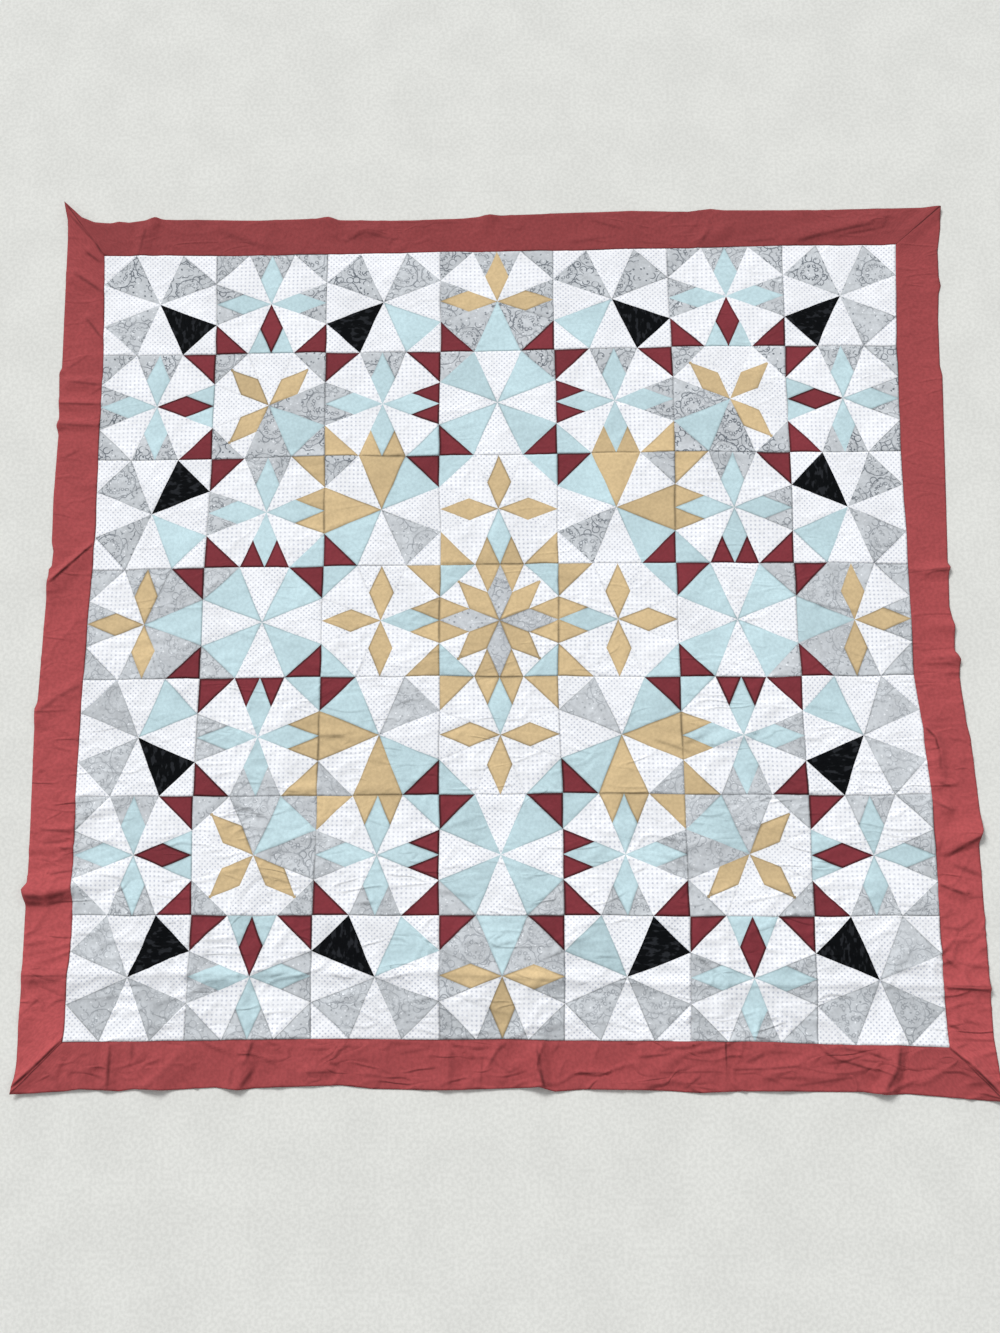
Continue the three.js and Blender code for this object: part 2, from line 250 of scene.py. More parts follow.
# Creases finer than the solids hold. Each row is the line where the cloth tucks in beside a small
# ridge, which stands on the left looking along the line and rises with the depth. Shade is painted along
# the line, the darker the deeper it is.
CREASES = millimetres("x0 y0 x1 y1 depth width", [
    # The top border
    (-986, 986, -922, 914, 1.2, 6), (-922, 914, -907, 889, 2.0, 7), (-945, 894, -914, 871, 1.5, 8),
    (-822, 889, -810, 953, 0.8, 10), (-642, 944, -531, 899, 0.9, 14), (-350, 913, -308, 936, 0.8, 9),
    (-308, 936, -241, 918, 0.8, 9), (215, 960, 281, 938, 0.7, 8), (154, 903, 263, 918, 0.6, 8),
    (461, 899, 486, 939, 0.9, 12), (569, 901, 624, 907, 0.8, 8), (683, 901, 744, 918, 1.4, 10),
    (744, 918, 848, 941, 1.2, 9), (780, 915, 871, 932, 0.7, 6),
    # The right border
    (916, 94, 932, 101, 1.0, 6), (932, 101, 966, 103, 1.8, 6), (916, -96, 970, -92, 0.6, 9),
    (891, -247, 908, -267, 2.2, 6), (908, -267, 915, -296, 2.4, 6), (915, -296, 916, -338, 1.2, 9),
    (937, -269, 973, -275, 0.6, 7), (912, -364, 937, -372, 1.1, 7), (898, -405, 930, -422, 1.3, 8),
    (919, -516, 957, -496, 2.2, 9), (957, -496, 991, -478, 2.2, 8), (930, -537, 984, -558, 1.4, 12),
    (899, -578, 918, -587, 1.4, 7), (918, -587, 945, -597, 2.2, 9), (898, -664, 933, -668, 0.9, 9),
    (933, -668, 961, -648, 0.8, 9), (896, -727, 912, -741, 1.6, 9), (900, -782, 981, -785, 1.4, 5),
    (898, -787, 982, -792, 2.4, 6), (893, -858, 918, -869, 1.4, 8), (927, -851, 961, -859, 0.9, 8),
    (903, -907, 927, -897, 0.9, 7),
    # The bottom border
    (891, -904, 935, -943, 2.4, 6), (935, -943, 985, -994, 3.0, 6), (762, -989, 789, -943, 2.2, 12),
    (789, -943, 795, -905, 1.8, 10), (644, -911, 667, -926, 1.6, 6), (667, -926, 747, -949, 1.6, 6),
    (678, -904, 735, -913, 1.2, 7), (735, -913, 770, -928, 1.6, 7), (715, -926, 754, -933, 1.0, 6),
    (585, -977, 697, -961, 1.0, 7), (464, -945, 531, -944, 1.2, 6), (531, -944, 591, -939, 1.2, 6),
    (492, -930, 527, -914, 1.4, 11), (535, -912, 567, -912, 0.8, 10), (318, -909, 342, -902, 1.2, 8),
    (342, -902, 380, -901, 1.0, 8), (317, -950, 436, -949, 0.8, 5), (367, -980, 394, -960, 1.2, 6),
    (278, -920, 336, -914, 1.4, 7), (154, -950, 211, -951, 1.8, 6), (86, -979, 78, -940, 2.2, 9),
    (78, -940, 72, -900, 1.6, 9), (108, -907, 115, -897, 1.0, 8), (14, -952, 36, -938, 1.0, 10),
    (-24, -937, -8, -907, 1.4, 9), (-8, -907, 8, -895, 1.4, 9), (-40, -976, -37, -922, 0.8, 7),
    (-101, -976, -97, -896, 0.9, 15), (-198, -910, -148, -901, 0.9, 8), (-336, -920, -318, -899, 1.0, 10),
    (-318, -899, -297, -890, 1.0, 10), (-517, -974, -495, -942, 1.6, 10), (-508, -923, -497, -886, 1.8, 9),
    (-385, -948, -339, -946, 1.0, 6), (-541, -974, -537, -940, 0.9, 12), (-699, -974, -630, -901, 0.9, 16),
    (-740, -919, -741, -888, 1.2, 10), (-785, -976, -784, -893, 1.8, 9), (-975, -973, -944, -944, 3.0, 6),
    (-944, -944, -885, -884, 2.6, 6),
    # The left border
    (-970, -832, -934, -797, 0.8, 6), (-976, -753, -884, -754, 1.4, 6), (-972, -764, -886, -762, 1.2, 14),
    (-980, -592, -937, -597, 2.8, 14), (-937, -597, -887, -584, 2.6, 14), (-979, -603, -936, -607, 2.0, 12),
    (-936, -607, -888, -595, 1.8, 11), (-927, -544, -881, -537, 1.5, 7),
    (-907, -492, -884, -490, 1.6, 7), (-948, -479, -903, -474, 1.5, 9), (-952, -451, -897, -454, 1.6, 8),
    (-913, -394, -891, -393, 0.7, 7), (-980, -199, -936, -164, 1.2, 13), (-936, -164, -893, -139, 1.2, 12),
    (-968, 95, -929, 135, 3.0, 6), (-929, 135, -887, 177, 2.8, 5), (-962, 385, -934, 401, 0.8, 7),
    (-975, 465, -893, 460, 1.0, 8), (-978, 515, -892, 513, 1.3, 6), (-965, 569, -891, 561, 1.1, 8),
    (-963, 605, -927, 632, 0.8, 8), (-931, 724, -897, 678, 1.6, 9), (-967, 839, -900, 791, 1.6, 10),
    # The panel, most of them in its lower rows
    (-875, -429, -799, -413, 1.6, 9), (-553, -400, -489, -426, 1.4, 10), (-383, -433, -383, -508, 1.4, 8),
    (-629, -782, -559, -762, 1.4, 9), (-504, -756, -454, -732, 1.6, 9), (-11, -698, 29, -688, 1.4, 8),
    (-124, -585, -58, -596, 1.4, 12), (-298, -611, -263, -605, 1.4, 8), (446, -505, 455, -532, 1.2, 8),
    (330, -475, 371, -484, 1.4, 9), (333, -511, 410, -547, 1.4, 12), (505, -460, 537, -454, 1.6, 8),
    (398, -721, 433, -751, 1.6, 9), (628, -269, 670, -269, 1.4, 8), (675, 29, 759, 12, 1.4, 8),
    (675, -38, 684, -76, 1.2, 8), (823, 16, 865, 7, 1.4, 8), (-211, -179, -180, -175, 1.2, 8),
    (-241, 384, -208, 386, 1.2, 8), (-129, 130, -47, 129, 1.2, 8), (-786, -71, -762, -122, 1.4, 9),
    (-744, -64, -730, -118, 1.2, 8), (-783, 72, -764, 122, 1.2, 9), (-632, 70, -605, 93, 1.2, 8),
    (-388, -255, -326, -253, 1.6, 10), (383, -278, 430, -256, 1.4, 10), (325, -267, 397, -293, 1.4, 9),
    (-978, -756, -120, -755, 0.9, 9), (-120, -755, 320, -780, 0.9, 9), (320, -780, 894, -786, 1.0, 9),
])


def linear(code):
    """Linear colour of an sRGB hex code."""
    parts = [int(code[i : i + 2], 16) / 255 for i in (1, 3, 5)]
    return tuple(p / 12.92 if p <= 0.04045 else ((p + 0.055) / 1.055) ** 2.4 for p in parts)


def length(name, description, default):
    return FloatProperty(
        name=name, description=description, default=default, min=0, unit="LENGTH", precision=4
    )


def brightness(name, description, default):
    return FloatProperty(name=name, description=description, default=default, min=0)


def colour(name, description, code):
    return FloatVectorProperty(
        name=name, description=description, default=linear(code), size=3, min=0, max=1, subtype="COLOR"
    )


class QuiltSizes(bpy.types.PropertyGroup):
    """Sizes of the quilt's pieces"""

    block: length("Block", "Side of a finished block", 0.254)
    border: length("Border", "Width of a border strip", 0.090)
    cloth: length("Cloth", "Thickness of the cotton with its seam allowances", 0.001)
    groove: length("Groove width", "Width of the dip along a seam", 0.009)
    groove_depth: length("Groove depth", "Depth of the dip along a seam", 0.0004)
    pucker: length("Pucker", "Height of the soft puckers between the seams", 0.0022)
    crumple: length("Crumple", "Height of the creases from folding and washing", 0.0024)
    cells: IntProperty(name="Cells", description="Mesh cells along a block", default=42, min=8)
    strip_cell: length("Strip cell", "Length of a mesh cell along a border strip", 0.0038)


class QuiltColours(bpy.types.PropertyGroup):
    """Colours of the cottons"""

    white: colour("White", "Ground of the dotted cotton", "#F5F6F9")
    white_dot: colour("White's dot", "Dots of the dotted cotton", "#C4C8D5")
    grey: colour("Grey", "Ground of the loop print", "#C9CDD1")
    grey_loop: colour("Grey's loop", "Loops and dots of the loop print", "#6A7078")
    aqua: colour("Aqua", "Plain pale aqua cotton", "#C1DAE0")
    gold: colour("Gold", "Plain gold tan cotton", "#D2B88C")
    red: colour("Dark red", "Plain dark red cotton", "#7F3139")
    black: colour("Black", "Ground of the black cotton", "#07090C")
    # Black's sheen is a painted sheen: the tone-on-tone streaks drawn lighter in the colour
    black_sheen: colour("Black's sheen", "Tone-on-tone streaks of the black cotton", "#25272B")
    rose: colour("Rose red", "Plain rose-red cotton of the border", "#A4494B")


class QuiltStage(bpy.types.PropertyGroup):
    """Floor, lights and camera"""

    floor: colour("Floor", "Pale painted floor", "#DCDCD7")
    key: brightness("Key light", "Strength of the soft light from beyond the top", 2.35)
    ambient: brightness("Ambient", "Strength of the light from all round", 0.54)


def chart(row, column):
    """The cottons of a block: its wedges as (diamond, sides) and its corners, both by direction."""
    r, c = (min(n, BLOCKS + 1 - n) for n in (row, column))
    wedges, corners = (words.split() for words in CHARTS[min(r, c), max(r, c)])

    def charted(direction):
        if row > r:
            direction = 4 - direction
        if column > c:
            direction = -direction
        if r > c:
            direction = 6 - direction
        return direction % 8

    pieces = [wedges[charted(k)].split("/") for k in range(8)]
    return (
        [(names[0], names[-1] if len(names) > 1 else None) for names in pieces],
        {k: corners[charted(k) // 2] for k in (1, 3, 5, 7)},
    )


# Lying cloth: where each point of the flat quilt comes to rest


def noise(x, y, size, seed):
    """Smooth noise from -1 to 1 with swells about size across."""
    span = 64
    lattice = np.random.default_rng(seed).uniform(-1, 1, (span, span))
    u, v = x / size, y / size
    i, j = np.floor(u).astype(int), np.floor(v).astype(int)
    s, t = u - i, v - j
    s, t = s * s * (3 - 2 * s), t * t * (3 - 2 * t)
    i, j = i % span, j % span
    low = lattice[i, j] * (1 - s) + lattice[(i + 1) % span, j] * s
    high = lattice[i, (j + 1) % span] * (1 - s) + lattice[(i + 1) % span, (j + 1) % span] * s
    return low * (1 - t) + high * t


def drift_along(edge, part):
    stations = np.linspace(0, 1, BLOCKS + 1)
    return np.array([np.interp(part, stations, DRIFT[edge][name]) for name in ("dx", "dy")])


def inner_drift(name, u, v):
    """What the panel has drifted beyond its edges' drift. Seams stay straight from corner to corner."""
    corners = np.pad(np.stack(list(INNER_DRIFT[name].values()), 1), 1)
    column = np.minimum((u * BLOCKS).astype(int), BLOCKS - 1)
    row = np.minimum((v * BLOCKS).astype(int), BLOCKS - 1)
    s, t = u * BLOCKS - column, v * BLOCKS - row
    upper = (1 - s) * corners[row, column] + s * corners[row, column + 1]
    lower = (1 - s) * corners[row + 1, column] + s * corners[row + 1, column + 1]
    return (1 - t) * upper + t * lower


def lay(x, y, half):
    """Where points of the flat panel lie on the floor, drifted as the tables say."""
    u = np.clip((x + half) / (2 * half), 0, 1)
    v = np.clip((half - y) / (2 * half), 0, 1)
    top, bottom = drift_along("top", u), drift_along("bottom", u)
    left, right = drift_along("left", v), drift_along("right", v)
    upper, lower = (
        (1 - u) * drift_along(edge, np.zeros_like(u)) + u * drift_along(edge, np.ones_like(u))
        for edge in ("top", "bottom")
    )
    corners = (1 - v) * upper + v * lower
    dx, dy = (1 - v) * top + v * bottom + (1 - u) * left + u * right - corners
    dx, dy = dx + inner_drift("dx", u, v), dy + inner_drift("dy", u, v)
    # Seams are sewn and matched by hand, so they waver
    sway_x = 1.7 * noise(x, y, 0.11, 1) + 0.9 * noise(x, y, 0.045, 7)
    sway_y = 1.7 * noise(x, y, 0.11, 2) + 0.9 * noise(x, y, 0.045, 8)
    return x + dx + MM * sway_x, y + dy + MM * sway_y


def off_line(x, y, x0, y0, x1, y1):
    """How far along a line each point lies, as a share, and how far off it, more than 0 on its left."""
    dx, dy = x1 - x0, y1 - y0
    along = np.clip(((x - x0) * dx + (y - y0) * dy) / (dx * dx + dy * dy), 0, 1)
    side = np.where(dx * (y - y0) - dy * (x - x0) > 0, 1, -1)
    return along, side * np.hypot(x - x0 - along * dx, y - y0 - along * dy)


def rise(folds, x, y):
    """Height of folds over the points x, y. Folds that meet run into each other without a kink."""
    total = np.zeros_like(x)
    for x0, y0, height0, x1, y1, height1, left, right in zip(*folds.values(), strict=True):
        along, off = off_line(x, y, x0, y0, x1, y1)
        share = np.minimum(np.abs(off) / np.where(off > 0, left, right), 1)
        total += ((height0 + along * (height1 - height0)) * (1 - share**2) ** 2) ** 4
    return total**0.25


def crease_ridges():
    """The ridges beside the creases, as a table of folds. Each is steep towards its crease."""
    x0, y0, x1, y1, depth, width = CREASES.values()
    size = np.hypot(x1 - x0, y1 - y0)
    off_x, off_y = (y0 - y1) / size * width / 2, (x1 - x0) / size * width / 2
    height = RIDGE_HEIGHT * depth
    back = RIDGE_BACK * width
    rows = (x0 + off_x, y0 + off_y, height, x1 + off_x, y1 + off_y, height, back, width)
    return dict(zip(FOLD_COLUMNS.split(), rows, strict=True))


def painted_crease_shade(x, y):
    """How much shade is painted on each point in a crease, from 0 to 1. Lines fade towards their
    ends, and wide ones are fainter."""
    darkest = np.zeros_like(x)
    for x0, y0, x1, y1, depth, width in zip(*CREASES.values(), strict=True):
        along, off = off_line(x, y, x0, y0, x1, y1)
        share = np.minimum(1, np.abs(off) / (0.6 * width))
        taper = np.minimum(1, 0.35 + 2.6 * np.minimum(along, 1 - along))
        dark = min(1, depth / DEEPEST) * min(1, 11 * MM / width)
        darkest = np.maximum(darkest, dark * taper * (1 - share**2) ** 2)
    return darkest


def cut(bm, part, point, normal):
    """Cuts part of the cloth along a line, and gives the part with its new edges."""
    return bmesh.ops.bisect_plane(bm, geom=part, dist=TOUCH, plane_co=point, plane_no=normal)["geom"]


def cut_creases(bm):
    """Cuts laid cloth along each crease, along the top of its ridge and along the ridge's feet."""
    low, high = (Vector(f(v.co[k] for v in bm.verts) for k in range(3)) for f in (min, max))
    for x0, y0, x1, y1, _, width in zip(*CREASES.values(), strict=True):
        if max(x0, x1) < low.x or min(x0, x1) > high.x:
            continue
        if max(y0, y1) < low.y or min(y0, y1) > high.y:
            continue
        start, along = Vector((x0, y0, 0)), Vector((x1 - x0, y1 - y0, 0))
        size = along.length
        along /= size
        left = Vector((-along.y, along.x, 0))

        def near(middle):
            reach, side = (middle - start).dot(along), (middle - start).dot(left)
            return -width < reach < size + width and CUT_FROM * width < side < CUT_TO * width

        part = part_of(bm, near)
        for share in RIDGE_CUTS:
            part = cut(bm, part, start + left * width * share, left)


def smooth_step(value, low, high):
    share = np.clip((value - low) / (high - low), 0, 1)
    return share * share * (3 - 2 * share)


def crumples(x, y):
    """Wandering creases from folding and washing, which run at three angles and lie in groups. 1 along
    their tops."""
    tops = np.zeros_like(x)
    for seed, angle, size in ((30, 12, 0.115), (32, -38, 0.095), (34, 72, 0.105)):
        turn = math.radians(angle)
        along, across = x * math.cos(turn) + y * math.sin(turn), y * math.cos(turn) - x * math.sin(turn)
        bend = 0.012 * noise(x, y, 0.05, seed)
        line = np.abs(noise(along, 2.2 * (across + bend), size, seed + 1))
        here = smooth_step(noise(along, 1.5 * across, 1.6 * size, seed + 2), -0.15, 0.35)
        tops = np.maximum(tops, here * smooth_step(line, 0.20, 0))
    return tops


def drape(x, y, seam, sizes):
    """Height of the cloth's upper face, from the folds, creases, puckers and seams under it."""
    # The lower rows lie less flat than the upper ones, and the lowest least of all
    lower, lowest = np.clip(0.55 - y / 1.1, 0, 1), np.clip(-(y + 0.55) / 0.2, 0, 1)
    worn = 0.45 + 0.5 * lower + 0.8 * lowest
    # The right border's upper half lies smooth
    smooth = smooth_step(x, 0.885, 0.905) * smooth_step(y, -0.05, 0.15)
    worn = worn * (1 - 0.85 * smooth)
    swell = 0.8 * noise(x, y, 0.140, 3) + 0.9 * noise(x + y, x - y, 0.070, 4)
    rumple = 0.6 * noise(x - y, x + y, 0.038, 5) + 0.25 * noise(x, y, 0.019, 6)
    puckers = sizes.pucker * np.logaddexp(0, 3 * (swell + rumple)) / 3
    soft = worn * (puckers + sizes.crumple * crumples(x, y))
    dip = sizes.groove_depth * (1 - seam)
    return sizes.cloth + dip + rise(FOLDS, x, y) + rise(crease_ridges(), x, y) + soft


def settle(mesh, x, y, seam, sizes):
    """Moves flat cloth to its place on the floor, creases it, and lifts it over the folds. seam is 1
    on a seam and 0 away from it. Keeps how much shade is painted on each point in a seam and in a crease."""
    note(mesh, "seam", "POINT", seam)
    mesh.vertices.foreach_set("co", np.stack([x, y, np.zeros_like(x)], 1).ravel())
    bm = bmesh.new()
    bm.from_mesh(mesh)
    cut_creases(bm)
    bm.to_mesh(mesh)
    bm.free()
    places = read(mesh.vertices, "co", 3)
    x, y = places[:, 0], places[:, 1]
    seam = read(mesh.attributes["seam"].data, "value", 1)
    places[:, 2] = drape(x, y, seam, sizes)
    mesh.vertices.foreach_set("co", places.ravel())
    # The shade painted along the seams is stronger here and fainter there, and strongest in the lower rows
    painted_seam_shade = np.clip(0.75 - 0.15 * y + 0.8 * noise(x, y, 0.075, 9), 0.15, 1)
    mesh.attributes["seam"].data.foreach_set("value", (painted_seam_shade * seam).astype(np.float32))
    # The shade painted into the creases
    note(mesh, "crease", "POINT", painted_crease_shade(x, y))


# Cottons

# Nodes that are used often, with their settings
TIMES = {"kind": "Math", "operation": "MULTIPLY"}
MINUS = {"kind": "Math", "operation": "SUBTRACT"}
UNSIGNED = {"kind": "Math", "operation": "ABSOLUTE"}
MOST = {"kind": "Math", "operation": "MAXIMUM"}
RANGE = {"kind": "MapRange", "interpolation_type": "SMOOTHSTEP"}
BLEND = {"kind": "Mix", "data_type": "RGBA"}
TINT = {"blend_type": "MULTIPLY", **BLEND}
NOISE = {"kind": "TexNoise", "noise_dimensions": "2D"}
CELLS = {"kind": "TexVoronoi", "voronoi_dimensions": "2D"}
NOTED = {"kind": "Attribute", "out": "Fac"}

DOT_PITCH = 7.94 * MM
DOT_RADIUS = 1.9 * MM
THREAD = 1.1 * MM
FLECK = (0.88, 0.90, 0.93)  # nearly white
COTTON_IOR = 1.5


def add(tree, *values, kind, sockets=(), out=None, **settings):
    """Adds a node with its settings. Fills the sockets it uses in order with the values, and others by
    name, each with a value or a link. Gives the output of that name, or else the first one."""
    node = tree.nodes.new("ShaderNode" + kind)
    for name, value in settings.items():
        setattr(node, name, value)
    used = [socket for socket in node.inputs if socket.enabled]
    named = [(node.inputs[name], value) for name, value in dict(sockets).items()]
    for socket, value in (*zip(used, values), *named):
        if isinstance(value, bpy.types.NodeSocket):
            tree.links.new(value, socket)
        else:
            socket.default_value = (*value, 1) if socket.type == "RGBA" else value
    given = [socket for socket in node.outputs if socket.enabled and out in (None, socket.name)]
    return given[0] if given else None


def clouds(tree, place, size, low, high, start, end, detail=3.0):
    """Soft clouds about size metres across. Where their noise goes from low to high, they go from
    start to end."""
    soft = add(tree, place, 1 / size, detail, **NOISE)
    return add(tree, soft, low, high, start, end, **RANGE)


def rings(tree, place, size, scatter, radius, full, gone, strength=1):
    """A ring in each cell of size metres, or a spot where radius is 0. It has its full strength up to
    full off its radius and is gone from gone on, all as shares of a cell."""
    distance = add(tree, place, 1 / size, sockets={"Randomness": scatter}, **CELLS)
    off = add(tree, add(tree, distance, radius, **MINUS), **UNSIGNED)
    return add(tree, off, full, gone, strength, 0, **RANGE)


def dotted(tree, cloth, colours):
    """Small dots on a square grid, some printed fainter than others. They stand a quarter inch apart,
    and are drawn a quarter coarser, or they would blur into the ground."""
    radius = DOT_RADIUS / DOT_PITCH
    dots = rings(tree, cloth, DOT_PITCH, 0, 0, 0.7 * radius, 1.25 * radius)
    ink = add(tree, attribute_name="ink", **NOTED)
    ink = add(tree, ink, clouds(tree, cloth, 45 * MM, 0.3, 0.7, 0.65, 1), **TIMES)
    marks = add(tree, dots, ink, **TIMES)
    return add(tree, marks, colours.white, colours.white_dot, **BLEND)


def looped(tree, cloth, colours):
    """Curving stems, with rings as large as coins in strings along them, small rings, and dots."""
    swirl = add(tree, cloth, 1 / (22 * MM), 3.0, out="Color", **NOISE)
    wander = add(tree, 0.008, cloth, swirl, blend_type="ADD", **BLEND)
    stem, beside, inside = (
        rings(tree, wander, 75 * MM, 1.0, radius, 0.4 * width, width)
        for radius, width in ((0.40, 0.020), (0.47, 0.16), (0.22, 0.10))
    )
    coin = rings(tree, cloth, 19 * MM, 0.8, 0.40, 0.034, 0.085)
    small = rings(tree, wander, 10 * MM, 0.7, 0.34, 0.06, 0.15)
    marks = rings(tree, wander, 21 * MM, 1.0, 0, 0.085, 0.125)
    for ring, band in ((stem, 1), (coin, beside), (small, inside)):
        marks = add(tree, marks, add(tree, ring, band, **TIMES), **MOST)
    ink = add(tree, attribute_name="ink", **NOTED)
    ink = add(tree, ink, clouds(tree, cloth, 35 * MM, 0.35, 0.6, 0.6, 1.0), **TIMES)
    marks = add(tree, marks, ink, **TIMES)

    flecks = rings(tree, wander, 23 * MM, 1.0, 0, 0.05, 0.09, 0.8)
    ground = add(tree, flecks, colours.grey, FLECK, **BLEND)
    smudge = clouds(tree, cloth, 24 * MM, 0.35, 0.65, 0.93, 1.03)
    ground = add(tree, 1.0, ground, smudge, **TINT)
    return add(tree, marks, ground, colours.grey_loop, **BLEND)


def streaked(tree, cloth, colours):
    """Wavy tone-on-tone print streaks, painted lighter in the colour as the sheen they show in the light.
    """
    squashed = add(tree, cloth, kind="Mapping", sockets={"Scale": (1.0, 0.45, 1.0)})
    streaks = clouds(tree, squashed, 10 * MM, 0.52, 0.64, 0, 1, detail=2.0)
    return add(tree, streaks, colours.black, colours.black_sheen, **BLEND)


def fine_crumples(tree, place, top_share):
    """Height of the creases too fine for the mesh, which run at three angles and lie in groups. They
    are stronger in the lower rows, and top_share as high near the top."""
    tops = 0
    for angle, size in ((12, 0.150), (-40, 0.120), (72, 0.135)):
        sockets = {"Rotation": (0, 0, math.radians(angle)), "Scale": (1.0, 2.3, 1.0)}
        turned = add(tree, place, kind="Mapping", sockets=sockets)
        swell = add(tree, turned, 1 / size, 1.2, sockets={"Distortion": 0.4}, **NOISE)
        off = add(tree, add(tree, swell, 0.5, **MINUS), **UNSIGNED)
        line = add(tree, off, 0.0, 0.10, 1, 0, **RANGE)
        here = clouds(tree, turned, 1.6 * size, 0.45, 0.62, 0, 1, detail=1.0)
        tops = add(tree, tops, add(tree, line, here, **TIMES), **MOST)
    height = add(tree, place, kind="SeparateXYZ", out="Y")
    worn = add(tree, height, -0.9, 0.5, 1.3, top_share, **RANGE)
    return add(tree, tops, worn, **TIMES)


PRINTS = {"white": dotted, "grey": looped, "black": streaked}
# For each cotton, the share of its colour that the shade painted into a shut seam or crease keeps, the
# power that the painted shadow of its seams is raised to, which reaches the further the lower it is,
# and how far its colour strays over a few millimetres, as a share
SHADES = {
    "white": (0.82, 2.4, 0.04),
    "grey": (0.55, 2.0, 0.055),
    "aqua": (0.58, 1.6, 0.055),
    "gold": (0.45, 1.0, 0.055),
    "red": (0.22, 0.28, 0.055),
    "black": (0.3, 1.0, 0.055),
    "rose": (0.25, 2.0, 0.08),
}


def empty_material(name):
    material = bpy.data.materials.new(name)
    material.use_nodes = True
    material.node_tree.nodes.clear()
    return material


def cotton(name):
    """A plain-woven quilting cotton, printed or dyed. Matt, with a soft bloom of fibre ends, a fine
    even weave with a slub here and there, a shade lighter or darker from patch to patch, and shade
    painted into its colour along its seams and creases."""
    material = bpy.data.materials.get(f"{name} quilting cotton")
    if material:
        return material
    material = empty_material(f"{name} quilting cotton")
    tree = material.node_tree
    colours = bpy.context.scene.quilt_colours
    cloth = add(tree, kind="UVMap", uv_map="cloth")
    dyed = PRINTS[name](tree, cloth, colours) if name in PRINTS else getattr(colours, name)
    place = add(tree, kind="TexCoord", out="Object")
    left_over, reach, blotch = SHADES[name]

    # Dye takes unevenly, and years of use fade it in soft clouds
    faded = clouds(tree, place, 0.09, 0.3, 0.7, 0.95, 1.03, detail=4.0)
    mottle = clouds(tree, cloth, 7 * MM, 0.3, 0.7, 1 - blotch, 1 + blotch)
    level = add(tree, faded, mottle, **TIMES)
    # tone: each patch's own shade of its cotton, and on the border strips painted light
    level = add(tree, level, add(tree, attribute_name="tone", **NOTED), **TIMES)
    open_cloth = add(tree, 1.0, dyed, level, **TINT)
    # Painted shade: the colour is darkened in seams and creases, as little light gets out of them, and the
    # less the darker the cloth
    seam = add(tree, attribute_name="seam", **NOTED)
    crease = add(tree, attribute_name="crease", **NOTED)
    shade = add(tree, crease, add(tree, seam, reach, kind="Math", operation="POWER"), **MOST)
    base = add(tree, shade, open_cloth, (left_over,) * 3, **TINT)

    # Threads lie 0.35 mm apart, too fine to show, so the weave is drawn at 1.1 mm
    turns = add(tree, cloth, math.tau / THREAD, kind="VectorMath", operation="SCALE")
    across = (add(tree, turns, kind="SeparateXYZ", out=axis) for axis in ("X", "Y"))
    weft, warp = (add(tree, turn, kind="Math", operation="SINE") for turn in across)
    weave = add(tree, weft, warp, **TIMES)
    weave = add(tree, weave, 0.05, **TIMES)
    drawn_out = add(tree, cloth, kind="Mapping", sockets={"Scale": (1, 0.2, 1)})
    slub = add(tree, drawn_out, 1 / (3 * MM), 2.0, **NOISE)
    fine = add(tree, weave, add(tree, slub, 0.25, **TIMES), kind="Math", operation="ADD")
    bump = add(tree, kind="Bump", sockets={"Height": fine, "Strength": 1.0, "Distance": 0.9 * MM})
    # The border was never pieced, so it creases more freely than the patches do
    top_share, height = (0.5, 2.0 * MM) if name == "rose" else (0.35, 1.4 * MM)
    creases = fine_crumples(tree, place, top_share)
    sockets = {"Height": creases, "Strength": 1.0, "Distance": height, "Normal": bump}
    bump = add(tree, kind="Bump", sockets=sockets)
    rough = add(tree, slub, 0.2, 0.8, 0.82, 0.95, **RANGE)
    surface = add(tree, kind="BsdfPrincipled", sockets={
        "Base Color": base,
        "Roughness": rough,
        "Normal": bump,
        "IOR": COTTON_IOR,
        "Specular IOR Level": 0.08 if name == "black" else 0.2,
        "Sheen Weight": 0.0 if name == "black" else 0.05,
        "Sheen Roughness": 0.5,
    })
    add(tree, surface, kind="OutputMaterial")
    return material


# Patchwork


def part_of(bm, inside):
    """The faces whose middle passes the test, with their edges and corners."""
    faces = [face for face in bm.faces if inside(face.calc_center_median())]
    edges = {edge for face in faces for edge in face.edges}
    corners = {corner for face in faces for corner in face.verts}
    return [*faces, *edges, *corners]


def everything(bm):
    return [*bm.faces, *bm.edges, *bm.verts]


def made_mesh(bm, name):
    mesh = bpy.data.meshes.new(name)
    bm.to_mesh(mesh)
    bm.free()
    return mesh


def cut_seam(bm, part, point, along, groove):
    """Cuts part of the cloth along a seam and along both sides of its groove."""
    normal = Vector((-along.y, along.x, 0))
    for side in (0, -1, 1):
        part = cut(bm, part, point + normal * side * groove / 2, normal)


def in_half_wedge(out, across, reach):
    return 0 < across < out * math.tan(HALF_WEDGE) and out < reach


def heading(direction, turn=0.0):
    """A unit vector in a direction, clockwise from the top, and turned further clockwise."""
    angle = direction * STEP + turn
    return Vector((math.sin(angle), math.cos(angle), 0))


